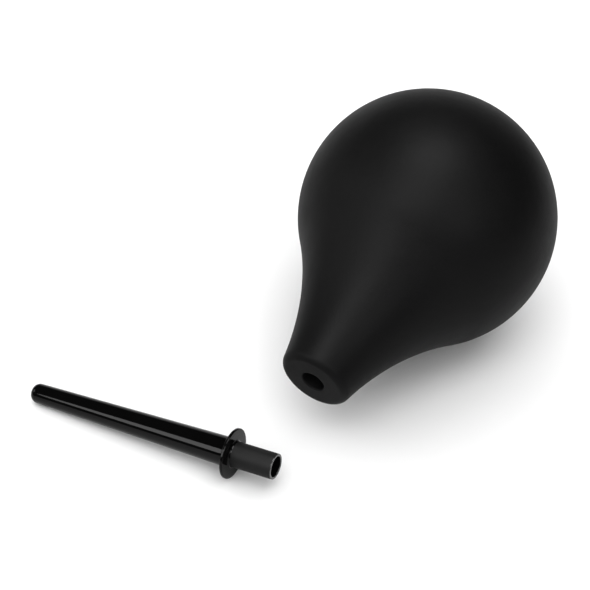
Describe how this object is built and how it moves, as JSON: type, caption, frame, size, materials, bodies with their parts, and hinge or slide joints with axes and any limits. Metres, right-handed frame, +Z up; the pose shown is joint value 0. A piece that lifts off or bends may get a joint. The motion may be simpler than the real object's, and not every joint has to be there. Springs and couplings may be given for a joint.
{
  "type": "dust blower bulb",
  "caption": "Round rubber squeeze bulb with a tapering neck and open mouth, and its loose push-in blowing nozzle lying beside it.",
  "frame": {"origin": "the middle of the small flattened patch that the ball stands on, at floor level", "axes": "+Z up from the floor; the bulb's mouth points towards -X and -Y, tilted down 12.3 degrees, and the nozzle lies beyond it"},
  "size_m": [0.1513, 0.1116, 0.0743],
  "materials": {
    "bulb_rubber": "matt",
    "nozzle_plastic": "gloss"
  },
  "bodies": {
    "bulb": {"bulb": "bulb_rubber"},
    "nozzle": {"nozzle": "nozzle_plastic"}
  },
  "joints": [
    {"name": "nozzle_to_mouth", "type": "hinge", "parent": "bulb", "child": "nozzle", "pos_m": [-0.05123, -0.04624, 0.01481], "axis": [-0.4927, -0.2438, 0.8354], "range_deg": [0, 87.6], "deforming": ["bulb"]}
  ]
}
